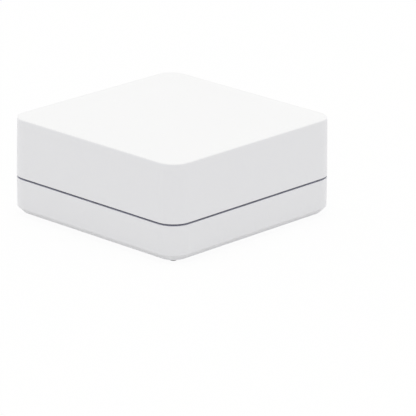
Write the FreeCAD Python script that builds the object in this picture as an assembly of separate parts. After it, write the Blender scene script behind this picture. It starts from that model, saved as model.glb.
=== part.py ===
import FreeCAD
import Part
import math
import os

# A square tabletop lighting hub, in millimetres. +Z is up, -Y is the front and +Y the wall with the ports.
# The origin is under the middle of the case, on the surface that the four feet stand on.

V = FreeCAD.Vector

# Case, overall
case_width = 70.0
case_height = 29.9
corner_radius = 6.4
seam_below_board = 0.26
seam_gap = 0.6
upper_draft_deg = 0.85
lower_draft_deg = 0.36

# Case, walls and edges
wall = 2.0
roof = 2.2
floor = 2.0
top_edge_radius = 0.4
lower_chamfer = 1.95
lower_edge_round = 0.1
seam_edge_round = 0.12

# Rim of the base, standing up inside the cover behind the seam
rim_thickness = 1.2
rim_height = 2.2
rim_root = 3.0
rim_gap = 0.15

# Corner columns: base standoff, board, cover boss and one screw through all three
column_inset = 9.0
standoff_diameter = 9.0
boss_diameter = 6.4
gusset_thickness = 1.2
gusset_drop = 11.5
screw_diameter = 2.9
screw_length = 18.0
screw_head_diameter = 5.6
screw_head_height = 2.0
screw_head_depth = 3.0
screw_clearance = 0.2
head_clearance = 0.4
thread_clearance = 0.05
pilot_spare = 1.5
cross_width = 0.9
cross_span = 3.2
cross_depth = 1.1
head_edge_round = 0.6

# Feet
foot_width = 10.6
foot_corner = 1.0
foot_thickness = 1.1
foot_proud = 0.6
foot_edge_round = 0.15
foot_clearance = 0.1

# Blank label in the middle of the underside
label_length = 36.0
label_width = 24.0
label_thickness = 0.2
label_recess = 0.3
label_corner = 1.5
label_clearance = 0.3

# Ribs on the floor of the base
floor_rib_thickness = 1.2
floor_rib_height = 2.5
floor_rib_offset = 12.0

# Circuit board
board_thickness = 1.6
board_gap = 0.65
board_corner = 3.4
hole_clearance = 0.15
edge_setback = 0.15

# Rear wall at the ports
port_wall = 1.15
port_face_gap = 0.25
port_pocket_to_gusset = 1.0
port_pocket_below_board = 1.2
port_pocket_above_jack = 0.5
port_edge_chamfer = 0.25

# Ethernet jack, measured from its front face and from the board
jack_headroom = 1.2
jack_to_boss = 0.8
jack_width = 16.0
jack_depth = 16.0
jack_sheet = 0.3
jack_hole_lip = 0.7
jack_hole_corner = 0.8
socket_width = 11.9
socket_height = 6.9
socket_floor = 2.0
socket_depth = 13.0
step_width = 6.3
step_height = 1.4
notch_width = 4.2
notch_height = 1.6
jack_roof = 1.4
latch_width = 6.6
latch_depth = 9.0
latch_catch = 1.2
shield_opening_margin = 0.25
jack_peg_diameter = 3.0
jack_peg_spacing = 11.43
jack_peg_setback = 6.5
jack_peg_length = 2.6
shield_post_width = 1.4
shield_post_length = 2.4
shield_post_setback = 11.2
lamp_width = 2.6
lamp_height = 2.0
lamp_depth = 4.0
lamp_drop = 0.6
lamp_offset = 5.6

# Ethernet contacts: eight sprung wires that rise from the socket's floor
contact_count = 8
contact_pitch = 1.02
contact_width = 0.4
contact_thickness = 0.3
contact_slot_clearance = 0.08
contact_bend_radius = 0.5
contact_front = 2.6
contact_slope_deg = 20.0
contact_free_length = 7.2
contact_seat = 1.2
contact_leg_setback = 10.6
contact_leg_stagger = 1.8
contact_leg_length = 2.4

# USB power receptacle
usb_to_boss = 1.0
usb_width = 7.5
usb_foot_width = 5.9
usb_height = 2.7
usb_shoulder = 0.9
usb_depth = 5.4
usb_sheet = 0.3
usb_back = 1.3
usb_tongue_width = 3.7
usb_tongue_thickness = 0.6
usb_tongue_setback = 0.8
usb_contact_count = 5
usb_contact_pitch = 0.65
usb_contact_width = 0.35
usb_contact_thickness = 0.12
usb_leg_length = 1.3
usb_leg_width = 0.9
usb_leg_setback = 3.6
usb_leg_thickness = 0.3
usb_hole_margin = 0.4
usb_hole_corner = 1.2

# Pairing button and the side-push switch behind it
button_to_jack = 2.0
button_diameter = 4.5
button_clearance = 0.1
button_recess = 0.2
button_flange_diameter = 6.2
button_flange_thickness = 0.8
button_flange_gap = 0.3
button_stem_diameter = 2.6
button_edge_round = 0.3
switch_width = 6.0
switch_height = 4.4
switch_depth = 3.2
switch_plate = 0.3
switch_chamber_diameter = 4.6
plunger_diameter = 2.6
plunger_length = 1.2
plunger_head_diameter = 4.0
plunger_head_thickness = 0.5
plunger_clearance = 0.12
dome_diameter = 4.2
dome_crown_diameter = 1.6
dome_rise = 0.6
dome_thickness = 0.15

# Status light
light_to_button = 1.2
light_diameter = 1.8
light_clearance = 0.04
light_recess = 0.15
light_flange_diameter = 3.0
light_flange_thickness = 0.6
light_air_gap = 0.25
led_width = 3.0
led_depth = 1.4
led_height = 1.8

# Parts on the board: size, and the middle of each measured from the board's middle
chip_corner = 0.2
processor_size = (13.0, 13.0, 1.2)
processor_place = (0.0, -1.0)
memory_size = (9.0, 13.3, 1.1)
memory_place = (-12.5, -1.0)
flash_size = (11.5, 9.0, 1.0)
flash_place = (13.5, -5.0)
network_chip_size = (5.0, 5.0, 0.9)
network_chip_place = (14.0, 6.0)
regulator_size = (4.0, 4.0, 0.9)
regulator_place = (-19.5, 17.0)
clock_size = (3.2, 2.5, 0.8)
clock_place = (-2.0, 10.5)
inductor_size = (5.0, 5.0, 3.0)
inductor_place = (-11.5, 18.0)
inductor_crown_height = 0.5
inductor_corner = 0.6
can_radius = 3.15
can_height = 5.8
can_foot = 6.6
can_foot_height = 1.0
can_from_edge = 6.0
can_rows = (8.0, 0.5)
can_groove_lift = 0.5
can_groove_depth = 0.25
can_groove_height = 0.5
can_edge_round = 0.4

# Radio section under its metal shield
shield_to_boss = 3.0
shield_from_edge = 5.0
shield_length = 17.0
shield_width = 12.0
shield_frame_height = 2.2
shield_sheet = 0.25
shield_corner = 1.0
shield_lip = 1.0
shield_lid_gap = 0.05
shield_lid_skirt = 1.4
shield_hole_diameter = 1.0
shield_hole_pitch = 3.0
shield_hole_count_x = 5
shield_hole_count_y = 3
radio_chip_size = (5.0, 5.0, 0.9)
radio_chip_offset = -2.0
radio_clock_size = (2.5, 2.0, 0.7)
radio_clock_offset = 3.0

# Antenna: a copper wire coil that stands on the board near the front wall
antenna_from_edge = (14.0, 10.0)
antenna_wire = 0.8
antenna_radius = 2.4
antenna_pitch = 1.5
antenna_turn_count = 6
antenna_lift = 2.0
antenna_bend = 1.0
antenna_through = 2.0

# Small surface parts in rows: x and y of the first and the step to the next, then how many each row has
capacitor_size = (1.6, 0.8, 0.8)
capacitor_rows = (
    (-6.0, -8.9, 2.4, 0.0),
    (-5.5, 8.5, 0.0, 1.8),
    (8.6, 2.0, 0.0, 1.6),
    (22.0, -6.0, 0.0, 1.8),
    (-15.5, 8.5, 2.6, 0.0),
)
capacitor_row_counts = (6, 3, 3, 4, 3)
resistor_size = (1.6, 0.8, 0.5)
resistor_rows = (
    (3.5, -12.5, 2.4, 0.0),
    (2.5, 8.5, 0.0, 1.6),
    (22.0, 3.0, 0.0, 1.6),
    (-8.0, 14.0, 2.6, 0.0),
)
resistor_row_counts = (4, 3, 4, 3)
surface_part_corner = 0.1

# Levels and places that follow from the sizes above
half = case_width / 2
underside_z = foot_proud
top_z = underside_z + case_height
roof_z = top_z - roof
floor_z = underside_z + floor
upper_slope = math.tan(math.radians(upper_draft_deg))
lower_slope = math.tan(math.radians(lower_draft_deg))
rim_half = half - wall - rim_gap
board_half = rim_half - rim_thickness - board_gap
jack_height = socket_floor + socket_height + step_height + notch_height + jack_roof
board_top_z = roof_z - jack_headroom - jack_height
board_z = board_top_z - board_thickness
seam_low_z = board_z - seam_below_board - seam_gap / 2
seam_high_z = board_z - seam_below_board + seam_gap / 2
board_edge_y = board_half - edge_setback
column = half - column_inset
column_places = [(sx * column, sy * column) for sx in (-1, 1) for sy in (-1, 1)]
inside_columns = column - boss_diameter / 2
port_pocket_half = column - gusset_thickness / 2 - port_pocket_to_gusset
port_pocket_y = half - port_wall
port_face_y = port_pocket_y - port_face_gap
jack_x = inside_columns - jack_to_boss - jack_width / 2
button_x = jack_x - jack_width / 2 - button_to_jack - button_flange_diameter / 2
light_x = button_x - button_flange_diameter / 2 - light_to_button - light_flange_diameter / 2
usb_x = usb_to_boss - inside_columns + usb_width / 2 + usb_leg_thickness
jack_centre_z = board_top_z + jack_height / 2
socket_low_z = board_top_z + socket_floor
socket_high_z = socket_low_z + socket_height
step_high_z = socket_high_z + step_height
notch_high_z = step_high_z + notch_height
usb_centre_z = board_top_z + usb_height / 2
button_z = board_top_z + switch_height / 2
light_z = board_top_z + led_height / 2
switch_plate_y = board_edge_y - switch_plate
button_tip_y = board_edge_y + plunger_length
plunger_head_y = switch_plate_y - plunger_clearance
dome_crown_y = plunger_head_y - plunger_head_thickness
dome_foot_y = dome_crown_y - dome_rise
can_places = [(can_from_edge - board_half, y) for y in can_rows]
radio_x = shield_to_boss - inside_columns + shield_length / 2 + shield_sheet + shield_lid_gap
radio_y = shield_from_edge + shield_width / 2 - board_half
antenna_x = board_half - antenna_from_edge[0]
antenna_y = antenna_from_edge[1] - board_half


def outer_y(z):
    """Outer face of the cover's rear wall at a height above the seam."""
    return half - (z - seam_high_z) * upper_slope


def box(x0, x1, y0, y1, z0, z1):
    """Block between two corners."""
    return Part.makeBox(x1 - x0, y1 - y0, z1 - z0, V(x0, y0, z0))


def rod(diameter, start, end):
    """Round bar between two points."""
    way = end - start
    return Part.makeCylinder(diameter / 2, way.Length, start, way)


def rod_y(diameter, x, z, y0, y1):
    """Round bar that lies along Y."""
    return rod(diameter, V(x, y0, z), V(x, y1, z))


def rod_z(diameter, x, y, z0, z1):
    """Round bar that stands along Z."""
    return rod(diameter, V(x, y, z0), V(x, y, z1))


def outline(half_x, half_y, radius, z, centre_x=0.0, centre_y=0.0):
    """Closed wire of a rectangle with round corners, flat at height z."""
    arcs = []
    for quarter, (sx, sy) in enumerate(((1, 1), (-1, 1), (-1, -1), (1, -1))):
        middle = V(centre_x + sx * (half_x - radius), centre_y + sy * (half_y - radius), z)
        angles = [math.radians(90 * quarter + turn) for turn in (0, 45, 90)]
        arcs.append([middle + V(radius * math.cos(a), radius * math.sin(a), 0) for a in angles])
    edges = []
    for i, arc in enumerate(arcs):
        following = arcs[(i + 1) % len(arcs)]
        edges.append(Part.Arc(*arc).toShape())
        edges.append(Part.LineSegment(arc[2], following[0]).toShape())
    return Part.Wire(edges)


def plate(half_x, half_y, radius, z0, z1, centre_x=0.0, centre_y=0.0):
    """Flat plate with round corners."""
    face = Part.Face(outline(half_x, half_y, radius, z0, centre_x, centre_y))
    return face.extrude(V(0, 0, z1 - z0))


def drafted(sections):
    """Straight-sided block through square outlines, each given as half width, corner radius and height."""
    wires = [outline(width, width, radius, z) for width, radius, z in sections]
    return Part.makeLoft(wires, True, True)


def turned_to_rear(shape, x, y, z):
    """Shape drawn flat, stood up to face the rear and moved to its place."""
    shape.rotate(V(0, 0, 0), V(1, 0, 0), 90)
    shape.translate(V(x, y, z))
    return shape


def edges_at(shape, z):
    """Edges that lie wholly at one height."""
    return [e for e in shape.Edges if all(abs(v.Z - z) < 1e-4 for v in e.Vertexes)]


def edges_at_y(shape, y):
    """Edges that lie wholly at one distance along Y."""
    return [e for e in shape.Edges if all(abs(v.Y - y) < 1e-4 for v in e.Vertexes)]


def joined(shapes):
    """One clean solid from solids that overlap."""
    return shapes[0].multiFuse(shapes[1:]).removeSplitter()


def on_board(size, place, corner=chip_corner):
    """Block-shaped part that lies on the board."""
    high = board_top_z + size[2]
    return plate(size[0] / 2, size[1] / 2, corner, board_top_z, high, place[0], place[1])


# Case: the parts of the rear wall that both shells share

def port_pocket(low_z):
    """Room behind the thin part of the rear wall, from a given height up to just above the jack."""
    high_z = board_top_z + jack_height + port_pocket_above_jack
    return box(-port_pocket_half, port_pocket_half, half - 2 * wall, port_pocket_y, low_z, high_z)


def rear_openings():
    """Everything that is cut through the rear wall: jack, power socket, button and light."""
    inside = port_pocket_y - wall
    outside = half + wall
    jack_half_x = jack_width / 2 - jack_hole_lip
    jack_half_z = jack_height / 2 - jack_hole_lip
    usb_half_x = usb_width / 2 + usb_hole_margin
    usb_half_z = usb_height / 2 + usb_hole_margin
    cuts = []
    for x, z, half_x, half_z, corner in (
        (jack_x, jack_centre_z, jack_half_x, jack_half_z, jack_hole_corner),
        (usb_x, usb_centre_z, usb_half_x, usb_half_z, usb_hole_corner),
    ):
        hole = plate(half_x, half_z, corner, 0.0, outside - inside)
        cuts.append(turned_to_rear(hole, x, outside, z))
        grow = 2 * port_edge_chamfer
        wide = outline(half_x + grow, half_z + grow, corner + grow, 0.0)
        narrow = outline(half_x, half_z, corner, grow)
        bevel = Part.makeLoft([wide, narrow], True, True)
        cuts.append(turned_to_rear(bevel, x, outer_y(z) + port_edge_chamfer, z))
    button_hole = button_diameter + 2 * button_clearance
    cuts.append(rod_y(button_hole, button_x, button_z, inside, outside))
    light_hole = light_diameter + 2 * light_clearance
    cuts.append(rod_y(light_hole, light_x, light_z, inside, outside))
    return cuts


# Cover: the tall upper shell, with its bosses, gussets and rear ports

def top_cover():
    """Upper shell of the case."""
    shrink = (top_z - seam_high_z) * upper_slope
    shape = drafted([(half, corner_radius, seam_high_z), (half - shrink, corner_radius - shrink, top_z)])
    shape = shape.makeFillet(top_edge_radius, edges_at(shape, top_z))
    shape = shape.makeFillet(seam_edge_round, edges_at(shape, seam_high_z))
    below_z = seam_high_z - wall
    widening = (seam_high_z - below_z) * upper_slope
    narrowing = (roof_z - seam_high_z) * upper_slope
    inner = half - wall
    inner_radius = corner_radius - wall
    hollow = drafted(
        [
            (inner + widening, inner_radius + widening, below_z),
            (inner - narrowing, inner_radius - narrowing, roof_z),
        ]
    )
    shape = shape.cut(hollow.fuse(port_pocket(below_z)))
    columns = []
    for x, y in column_places:
        columns.append(rod_z(boss_diameter, x, y, board_top_z, roof_z + roof / 2))
        columns.extend(gussets(x, y))
    shape = joined([shape] + columns)
    pilot = screw_diameter + 2 * thread_clearance
    for x, y in column_places:
        shape = shape.cut(rod_z(pilot, x, y, below_z, screw_tip_z() + pilot_spare))
    for opening in rear_openings():
        shape = shape.cut(opening)
    return shape


def gussets(x, y):
    """Two thin webs that tie a boss to the walls beside it."""
    low = roof_z - gusset_drop
    high = roof_z + roof / 2
    side = gusset_thickness / 2
    reach = half - wall / 2 - upper_slope * (high - seam_high_z)
    x0, x1 = sorted((x, math.copysign(reach, x)))
    y0, y1 = sorted((y, math.copysign(reach, y)))
    return [box(x0, x1, y - side, y + side, low, high), box(x - side, x + side, y0, y1, low, high)]


# Base: the lower shell, with its rim, standoffs and the seats of the feet

def base_shell():
    """Lower shell of the case."""
    chamfer_z = underside_z + lower_chamfer
    at_chamfer = (seam_low_z - chamfer_z) * lower_slope
    at_foot = at_chamfer + lower_chamfer
    shape = drafted(
        [
            (half - at_foot, corner_radius - at_foot, underside_z),
            (half - at_chamfer, corner_radius - at_chamfer, chamfer_z),
            (half, corner_radius, seam_low_z),
        ]
    )
    shape = shape.makeFillet(lower_edge_round, edges_at(shape, underside_z) + edges_at(shape, chamfer_z))
    shape = shape.makeFillet(seam_edge_round, edges_at(shape, seam_low_z))
    above_z = seam_low_z + wall
    narrowing = (seam_low_z - floor_z) * lower_slope
    widening = (above_z - seam_low_z) * lower_slope
    inner = half - wall
    inner_radius = corner_radius - wall
    hollow = drafted(
        [
            (inner - narrowing, inner_radius - narrowing, floor_z),
            (inner + widening, inner_radius + widening, above_z),
        ]
    )
    shape = shape.cut(hollow)
    shape = joined([shape] + rim_pieces() + standoffs() + floor_ribs())
    for x, y in column_places:
        for opening in column_bore(x, y):
            shape = shape.cut(opening)
    shape = shape.cut(port_pocket(board_top_z - port_pocket_below_board))
    for opening in rear_openings():
        shape = shape.cut(opening)
    recess_low = underside_z - floor
    recess_high = underside_z + label_recess
    return shape.cut(plate(label_length / 2, label_width / 2, label_corner, recess_low, recess_high))


def rim_pieces():
    """Upstand behind the seam: thick where it grows from the wall and thin inside the cover."""
    rim_radius = corner_radius - wall - rim_gap
    inner = rim_half - rim_thickness
    root_half = half - wall / 2
    root_z = seam_low_z - rim_root
    rim_z = seam_low_z + rim_height
    root = plate(root_half, root_half, corner_radius - wall / 2, root_z, seam_low_z)
    upstand = plate(rim_half, rim_half, rim_radius, root_z, rim_z)
    hole = plate(inner, inner, rim_radius - rim_thickness, root_z, rim_z)
    return [root.cut(hole), upstand.cut(hole)]


def standoffs():
    """Columns that carry the board at its corners."""
    low = floor_z - floor / 2
    return [rod_z(standoff_diameter, x, y, low, board_z) for x, y in column_places]


def floor_ribs():
    """Low crossed ribs that stiffen the floor between the walls."""
    reach = half - wall / 2 - (seam_low_z - floor_z) * lower_slope
    side = floor_rib_thickness / 2
    low = floor_z - floor / 2
    high = floor_z + floor_rib_height
    ribs = []
    for place in (-floor_rib_offset, floor_rib_offset):
        ribs.append(box(-reach, reach, place - side, place + side, low, high))
        ribs.append(box(place - side, place + side, -reach, reach, low, high))
    return ribs


def column_bore(x, y):
    """Foot recess, screw head pocket and screw hole in one corner of the base."""
    below = underside_z - floor
    recess_half = foot_width / 2 + foot_clearance
    return [
        plate(recess_half, recess_half, foot_corner + foot_clearance, below, foot_thickness, x, y),
        rod_z(screw_head_diameter + 2 * head_clearance, x, y, below, underside_z + screw_head_depth),
        rod_z(screw_diameter + 2 * screw_clearance, x, y, below, board_top_z),
    ]


# Feet, label and screws

def rubber_foot(x, y):
    """Square rubber bumper with round corners, stuck into its recess."""
    shape = plate(foot_width / 2, foot_width / 2, foot_corner, 0, foot_thickness, x, y)
    return shape.makeFillet(foot_edge_round, edges_at(shape, 0.0))


def blank_label():
    """Bare label, stuck to the floor of its recess."""
    half_x = label_length / 2 - label_clearance
    half_y = label_width / 2 - label_clearance
    top = underside_z + label_recess
    return plate(half_x, half_y, label_corner - label_clearance, top - label_thickness, top)


def screw_tip_z():
    """Height that the tip of a case screw reaches."""
    return underside_z + screw_head_depth + screw_length


def case_screws():
    """Four long screws that clamp base, board and cover, with cross recesses."""
    seat_z = underside_z + screw_head_depth
    face_z = seat_z - screw_head_height
    deep_z = face_z + cross_depth
    tip = screw_diameter / 2
    long_side = cross_span / 2
    short_side = cross_width / 2
    screws = []
    for x, y in column_places:
        head = rod_z(screw_head_diameter, x, y, face_z, seat_z)
        head = head.makeFillet(head_edge_round, edges_at(head, face_z))
        shank = rod_z(screw_diameter, x, y, deep_z, screw_tip_z() - tip)
        point = Part.makeCone(tip, tip / 3, tip, V(x, y, screw_tip_z() - tip))
        shape = joined([head, shank, point])
        for half_x, half_y in ((long_side, short_side), (short_side, long_side)):
            shape = shape.cut(box(x - half_x, x + half_x, y - half_y, y + half_y, underside_z, deep_z))
        screws.append(shape)
    return Part.makeCompound(screws)


# Circuit board

def contact_places():
    """Where the leg of each Ethernet contact wire goes through the board."""
    first = jack_x - contact_pitch * (contact_count - 1) / 2
    places = []
    for i in range(contact_count):
        setback = contact_leg_setback + contact_leg_stagger * (i % 2)
        places.append((first + i * contact_pitch, port_face_y - setback))
    return places


def peg_places():
    """Where the jack's two plastic pegs go through the board."""
    y = port_face_y - jack_peg_setback
    return [(jack_x + side * jack_peg_spacing / 2, y) for side in (-1, 1)]


def shield_post_places():
    """Where the jack shield's two posts go through the board."""
    reach = jack_width / 2 - jack_sheet / 2
    return [(jack_x + side * reach, port_face_y - shield_post_setback) for side in (-1, 1)]


def usb_leg_places():
    """Where the power socket's two legs go through the board."""
    reach = usb_width / 2 + usb_leg_thickness / 2
    return [(usb_x + side * reach, port_face_y - usb_leg_setback) for side in (-1, 1)]


def main_board():
    """Circuit board with its screw holes and the plated holes of the parts that go through it."""
    sizes_and_places = [
        (screw_diameter + 2 * screw_clearance, column_places),
        (jack_peg_diameter + 2 * hole_clearance, peg_places()),
        (math.hypot(contact_width, contact_width) + 2 * hole_clearance, contact_places()),
        (math.hypot(shield_post_width, jack_sheet) + 2 * hole_clearance, shield_post_places()),
        (math.hypot(usb_leg_width, usb_leg_thickness) + 2 * hole_clearance, usb_leg_places()),
        (antenna_wire + 2 * hole_clearance, [antenna_leg()]),
    ]
    shape = plate(board_half, board_half, board_corner, board_z, board_top_z)
    for diameter, places in sizes_and_places:
        for x, y in places:
            shape = shape.cut(rod_z(diameter, x, y, board_z, board_top_z))
    return shape


# Ethernet jack: plastic body, metal shield, eight sprung wires and two lamp windows

def socket_space(margin, back_y):
    """The three widths of the socket, from its face back to back_y, grown by a margin all round."""
    front_y = port_face_y + jack_sheet
    spaces = []
    for width, low, high in (
        (socket_width, socket_low_z - margin, socket_high_z),
        (step_width, socket_high_z - margin, step_high_z),
        (notch_width, step_high_z - margin, notch_high_z),
    ):
        reach = width / 2 + margin
        spaces.append(box(jack_x - reach, jack_x + reach, back_y, front_y, low, high + margin))
    return spaces


def lamp_windows():
    """The two clear windows in the jack's upper corners."""
    high = board_top_z + jack_height - jack_sheet - lamp_drop
    low = high - lamp_height
    back = port_face_y - lamp_depth
    windows = []
    for side in (-1, 1):
        left = jack_x + side * lamp_offset - lamp_width / 2
        windows.append(box(left, left + lamp_width, back, port_face_y, low, high))
    return windows


def jack_shield():
    """Folded tinplate box round the jack, open below, with a post on each side."""
    t = jack_sheet
    side = jack_width / 2
    back = port_face_y - jack_depth
    top = board_top_z + jack_height
    low = board_top_z - shield_post_length
    shape = box(jack_x - side, jack_x + side, back, port_face_y, board_top_z, top)
    shape = shape.cut(box(jack_x - side + t, jack_x + side - t, back + t, port_face_y - t, low, top - t))
    for opening in socket_space(shield_opening_margin, port_face_y - 2 * t) + lamp_windows():
        shape = shape.cut(opening)
    half_w = shield_post_width / 2
    posts = []
    for x, y in shield_post_places():
        posts.append(box(x - t / 2, x + t / 2, y - half_w, y + half_w, low, board_top_z + shield_post_width))
    return joined([shape] + posts)


def jack_body():
    """Black plastic body of the jack, with the socket, its latch catch and the wire slots."""
    t = jack_sheet
    side = jack_width / 2 - t
    back = port_face_y - jack_depth + t
    front = port_face_y - t
    shape = box(jack_x - side, jack_x + side, back, front, board_top_z, board_top_z + jack_height - t)
    cavity, step, notch = socket_space(0.0, port_face_y - socket_depth)
    catch_y = front - latch_catch
    narrow = notch_width / 2
    wide = latch_width / 2
    mouth = box(jack_x - narrow, jack_x + narrow, catch_y, port_face_y, step_high_z, notch_high_z)
    latch_back = port_face_y - latch_depth
    chamber = box(jack_x - wide, jack_x + wide, latch_back, catch_y, socket_high_z, notch_high_z)
    for opening in [cavity, step, mouth, chamber] + lamp_windows():
        shape = shape.cut(opening)
    slot = contact_width / 2 + contact_slot_clearance
    seat = board_top_z + contact_seat
    bend_reach = contact_bend_radius + contact_thickness + contact_slot_clearance
    slot_front = port_face_y - contact_front + bend_reach
    for x, leg_y in contact_places():
        shape = shape.cut(box(x - slot, x + slot, leg_y - slot, slot_front, seat, socket_high_z))
        shape = shape.cut(box(x - slot, x + slot, leg_y - slot, leg_y + slot, board_top_z, socket_high_z))
    peg_z = board_top_z - jack_peg_length
    pegs = [rod_z(jack_peg_diameter, x, y, peg_z, board_top_z + contact_seat) for x, y in peg_places()]
    return joined([shape] + pegs)


def jack_contacts():
    """Eight gilt wires: a leg through the board, a run under the socket, a bend and a sprung slope."""
    inner_r = contact_bend_radius
    outer_r = contact_bend_radius + contact_thickness
    slope = math.radians(contact_slope_deg)
    bend = V(0, port_face_y - contact_front, board_top_z + contact_seat + outer_r)
    down = V(0, 0, -1)
    middle = V(0, math.cos(slope / 2), -math.sin(slope / 2))
    up = V(0, math.sin(slope), math.cos(slope))
    back = V(0, -math.cos(slope), math.sin(slope)) * contact_free_length
    side = contact_width / 2
    wires = []
    for x, leg_y in contact_places():
        points = [
            V(0, leg_y - side, bend.z - outer_r),
            bend + down * outer_r,
            bend + up * outer_r,
            bend + up * outer_r + back,
            bend + up * inner_r + back,
            bend + up * inner_r,
            bend + down * inner_r,
            V(0, leg_y - side, bend.z - inner_r),
        ]
        edges = []
        for i, point in enumerate(points):
            following = points[(i + 1) % len(points)]
            if i == 1:
                edges.append(Part.Arc(point, bend + middle * outer_r, following).toShape())
            elif i == 5:
                edges.append(Part.Arc(point, bend + middle * inner_r, following).toShape())
            else:
                edges.append(Part.LineSegment(point, following).toShape())
        spring = Part.Face(Part.Wire(edges)).extrude(V(contact_width, 0, 0))
        spring.translate(V(x - side, 0, 0))
        low = board_top_z - contact_leg_length
        leg = box(x - side, x + side, leg_y - side, leg_y + side, low, bend.z - inner_r)
        wires.append(joined([spring, leg]))
    return Part.makeCompound(wires)


# Power socket: metal shell, plastic tongue and five contacts

def usb_prism(inset, y0, y1):
    """Prism of the power socket's outline, wide above and narrow at its foot."""
    low = board_top_z + inset
    high = board_top_z + usb_height - inset
    side = usb_width / 2 - inset
    slope = math.atan2(usb_shoulder, (usb_width - usb_foot_width) / 2)
    foot = usb_foot_width / 2 - inset * math.tan(slope / 2)
    shoulder = low + (side - foot) * math.tan(slope)
    corners = [(-foot, low), (foot, low), (side, shoulder), (side, high), (-side, high), (-side, shoulder)]
    wire = Part.makePolygon([V(usb_x + x, y0, z) for x, z in corners + corners[:1]])
    return Part.Face(wire).extrude(V(0, y1 - y0, 0))


def usb_shell():
    """Folded steel shell of the power socket, with a leg on each side."""
    back = port_face_y - usb_depth
    bore = usb_prism(usb_sheet, back - usb_sheet, port_face_y + usb_sheet)
    shape = usb_prism(0.0, back, port_face_y).cut(bore)
    half_t = usb_leg_thickness / 2
    half_w = usb_leg_width / 2
    low = board_top_z - usb_leg_length
    high = board_top_z + usb_height - 2 * usb_sheet
    legs = [box(x - half_t, x + half_t, y - half_w, y + half_w, low, high) for x, y in usb_leg_places()]
    return joined([shape] + legs)


def usb_tongue():
    """Plastic block in the back of the power socket, and the tongue that carries its contacts."""
    back = port_face_y - usb_depth
    block = usb_prism(usb_sheet, back, back + usb_back)
    side = usb_tongue_width / 2
    high = usb_centre_z + usb_tongue_thickness
    tongue = box(usb_x - side, usb_x + side, back, port_face_y - usb_tongue_setback, usb_centre_z, high)
    return joined([block, tongue])


def usb_contacts():
    """Five flat contacts on the underside of the tongue."""
    low = usb_centre_z - usb_contact_thickness
    back = port_face_y - usb_depth + usb_back
    front = port_face_y - usb_tongue_setback - usb_contact_width
    first = usb_x - usb_contact_pitch * (usb_contact_count - 1) / 2
    side = usb_contact_width / 2
    strips = []
    for i in range(usb_contact_count):
        x = first + i * usb_contact_pitch
        strips.append(box(x - side, x + side, back, front, low, usb_centre_z))
    return Part.makeCompound(strips)


# Pairing button and the switch behind it, all on one line along Y

def pairing_button():
    """Small round button cap with a flange behind the wall and a stem that meets the switch."""
    front = outer_y(button_z) - button_recess
    flange_front = port_pocket_y - button_flange_gap
    flange_back = flange_front - button_flange_thickness
    cap = rod_y(button_diameter, button_x, button_z, flange_back, front)
    cap = cap.makeFillet(button_edge_round, edges_at_y(cap, front))
    flange = rod_y(button_flange_diameter, button_x, button_z, flange_back, flange_front)
    stem = rod_y(button_stem_diameter, button_x, button_z, button_tip_y, flange_front)
    return joined([cap, flange, stem])


def switch_plunger():
    """Round plunger that the button's stem rests on."""
    head = rod_y(plunger_head_diameter, button_x, button_z, dome_crown_y, plunger_head_y)
    stem = rod_y(plunger_diameter, button_x, button_z, dome_crown_y, button_tip_y)
    return joined([head, stem])


def switch_dome():
    """Sprung metal dome between the plunger's head and the floor of the chamber."""
    t = dome_thickness
    foot = V(button_x, dome_foot_y, button_z)
    along = V(0, 1, 0)
    outer = Part.makeCone(dome_diameter / 2, dome_crown_diameter / 2, dome_rise, foot, along)
    inner = Part.makeCone(dome_diameter / 2 - 2 * t, dome_crown_diameter / 2 - t, dome_rise - t, foot, along)
    return outer.cut(inner)


def switch_body():
    """Plastic block of the switch, with a round chamber for the dome."""
    side = switch_width / 2
    back = switch_plate_y - switch_depth
    high = board_top_z + switch_height
    shape = box(button_x - side, button_x + side, back, switch_plate_y, board_top_z, high)
    return shape.cut(rod_y(switch_chamber_diameter, button_x, button_z, dome_foot_y, board_edge_y))


def switch_cover_plate():
    """Stamped metal plate across the front of the switch, folded over its top."""
    left = button_x - switch_width / 2
    right = button_x + switch_width / 2
    low = board_top_z + switch_height
    high = low + switch_plate
    back = switch_plate_y - switch_depth
    face = box(left, right, switch_plate_y, board_edge_y, board_top_z, high)
    fold = box(left, right, back, board_edge_y, low, high)
    hole = plunger_diameter + 2 * plunger_clearance
    return joined([face, fold]).cut(rod_y(hole, button_x, button_z, back, button_tip_y))


# Status light: a side-view lamp on the board's edge and a clear rod through the wall

def status_light_pipe():
    """Clear rod from the lamp to the wall, with a flange that stops it in the wall."""
    front = outer_y(light_z) - light_recess
    back = board_edge_y + light_air_gap
    pipe = rod_y(light_diameter, light_x, light_z, back, front)
    flange_back = port_pocket_y - light_flange_thickness
    flange = rod_y(light_flange_diameter, light_x, light_z, flange_back, port_pocket_y)
    return joined([pipe, flange])


def status_led():
    """Side-view lamp, soldered flat on the board."""
    side = led_width / 2
    high = board_top_z + led_height
    return box(light_x - side, light_x + side, board_edge_y - led_depth, board_edge_y, board_top_z, high)


# Parts on the board

def bulk_capacitors():
    """Aluminium capacitors, each a can on a square foot, with a groove rolled round it."""
    cans = []
    for x, y in can_places:
        foot = on_board((can_foot, can_foot, can_foot_height), (x, y), can_foot_height)
        low = board_top_z + can_foot_height
        can = rod_z(2 * can_radius, x, y, board_top_z, board_top_z + can_height)
        can = can.makeFillet(can_edge_round, edges_at(can, board_top_z + can_height))
        groove_z = low + can_groove_lift
        ring = rod_z(3 * can_radius, x, y, groove_z, groove_z + can_groove_height)
        ring = ring.cut(rod_z(2 * (can_radius - can_groove_depth), x, y, low, board_top_z + can_height))
        cans.append(joined([foot, can]).cut(ring))
    return Part.makeCompound(cans)


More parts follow.
